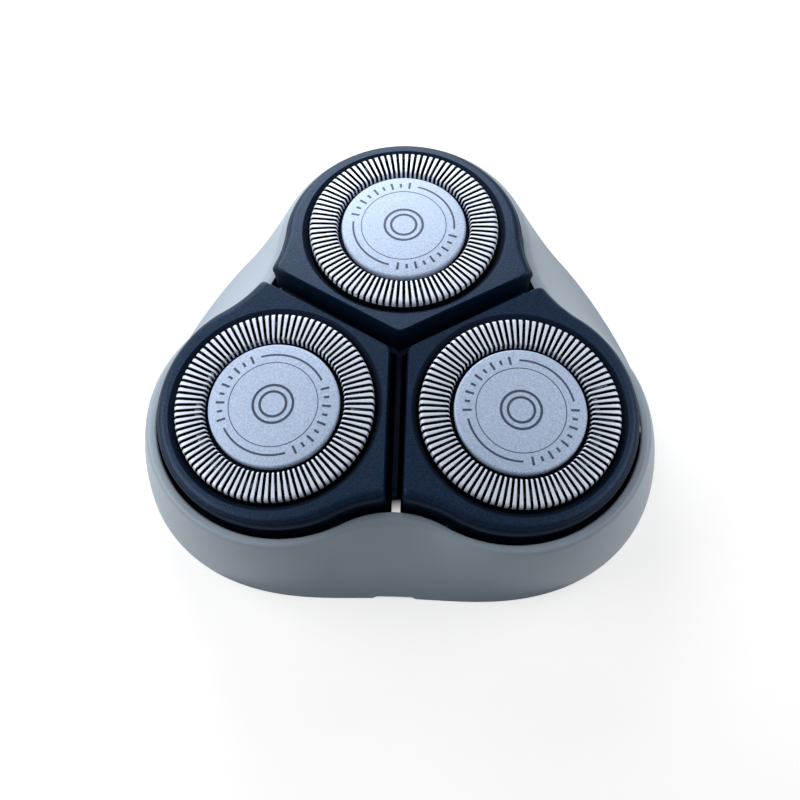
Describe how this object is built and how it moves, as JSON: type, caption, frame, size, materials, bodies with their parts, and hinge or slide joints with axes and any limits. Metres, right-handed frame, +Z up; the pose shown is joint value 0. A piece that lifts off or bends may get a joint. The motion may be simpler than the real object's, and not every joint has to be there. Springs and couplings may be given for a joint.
{
  "type": "rotary shaver head",
  "caption": "Replacement shaving unit for a rotary shaver: a pale three-lobed housing with tilting navy heads, each with a slotted steel guard, silver disc and spinning cutter.",
  "frame": {"origin": "on the plane that the open base stands on, at the middle of the outline's box", "axes": "+Z up through the heads, +Y towards the rear head, +X to the right seen from the front waist with its finger notch"},
  "size_m": [0.0594, 0.0546, 0.0164],
  "materials": {
    "pale_plastic": "fine satin-moulded ABS, pale blue-grey",
    "navy_plastic": "satin dark navy moulded plastic, glossy side walls",
    "dark_plastic": "plain moulded dark plastic",
    "guard_steel": "bright polished stainless steel",
    "satin_silver": "satin silver with a cool tint, with thin printed rings",
    "cutter_steel": "stamped and ground stainless steel",
    "hub_plastic": "plain moulded acetal, off-white",
    "ring_plastic": "plain moulded dark grey plastic"
  },
  "bodies": {
    "housing": {"housing_shell": "pale_plastic", "head_carrier": "dark_plastic"},
    "frame_rear": {"head_frame_rear": "navy_plastic"},
    "guard_rear": {"guard_rear": "guard_steel", "centre_disc_rear": "satin_silver"},
    "cutter_rear": {"cutter_rear": "cutter_steel", "drive_hub_rear": "hub_plastic"},
    "lock_ring_rear": {"retaining_ring_rear": "ring_plastic"},
    "frame_left": {"head_frame_left": "navy_plastic"},
    "guard_left": {"guard_left": "guard_steel", "centre_disc_left": "satin_silver"},
    "cutter_left": {"cutter_left": "cutter_steel", "drive_hub_left": "hub_plastic"},
    "lock_ring_left": {"retaining_ring_left": "ring_plastic"},
    "frame_right": {"head_frame_right": "navy_plastic"},
    "guard_right": {"guard_right": "guard_steel", "centre_disc_right": "satin_silver"},
    "cutter_right": {"cutter_right": "cutter_steel", "drive_hub_right": "hub_plastic"},
    "lock_ring_right": {"retaining_ring_right": "ring_plastic"}
  },
  "joints": [
    {"name": "tilt_rear", "type": "hinge", "parent": "housing", "child": "frame_rear", "pos_m": [0, 0.0113, 0.00852], "axis": [1, 0, 0], "range_deg": [-4, 4]},
    {"name": "float_rear", "type": "slide", "parent": "frame_rear", "child": "guard_rear", "axis": [0, 0.0837, 0.9965], "range_m": [0, 0.0005]},
    {"name": "spin_rear", "type": "hinge", "parent": "guard_rear", "child": "cutter_rear", "pos_m": [0, 0.0113, 0.00852], "axis": [0, 0.0837, 0.9965], "continuous": true},
    {"name": "lock_rear", "type": "hinge", "parent": "frame_rear", "child": "lock_ring_rear", "pos_m": [0, 0.0113, 0.00852], "axis": [0, 0.0837, 0.9965], "range_deg": [-40, 0]},
    {"name": "tilt_left", "type": "hinge", "parent": "housing", "child": "frame_left", "pos_m": [-0.01257, -0.01047, 0.00852], "axis": [-0.5, 0.866, 0], "range_deg": [-4, 4]},
    {"name": "float_left", "type": "slide", "parent": "frame_left", "child": "guard_left", "axis": [-0.0725, -0.0418, 0.9965], "range_m": [0, 0.0005]},
    {"name": "spin_left", "type": "hinge", "parent": "guard_left", "child": "cutter_left", "pos_m": [-0.01257, -0.01047, 0.00852], "axis": [-0.0725, -0.0418, 0.9965], "continuous": true},
    {"name": "lock_left", "type": "hinge", "parent": "frame_left", "child": "lock_ring_left", "pos_m": [-0.01257, -0.01047, 0.00852], "axis": [-0.0725, -0.0418, 0.9965], "range_deg": [-40, 0]},
    {"name": "tilt_right", "type": "hinge", "parent": "housing", "child": "frame_right", "pos_m": [0.01257, -0.01047, 0.00852], "axis": [-0.5, -0.866, 0], "range_deg": [-4, 4]},
    {"name": "float_right", "type": "slide", "parent": "frame_right", "child": "guard_right", "axis": [0.0725, -0.0418, 0.9965], "range_m": [0, 0.0005]},
    {"name": "spin_right", "type": "hinge", "parent": "guard_right", "child": "cutter_right", "pos_m": [0.01257, -0.01047, 0.00852], "axis": [0.0725, -0.0418, 0.9965], "continuous": true},
    {"name": "lock_right", "type": "hinge", "parent": "frame_right", "child": "lock_ring_right", "pos_m": [0.01257, -0.01047, 0.00852], "axis": [0.0725, -0.0418, 0.9965], "range_deg": [-40, 0]}
  ]
}
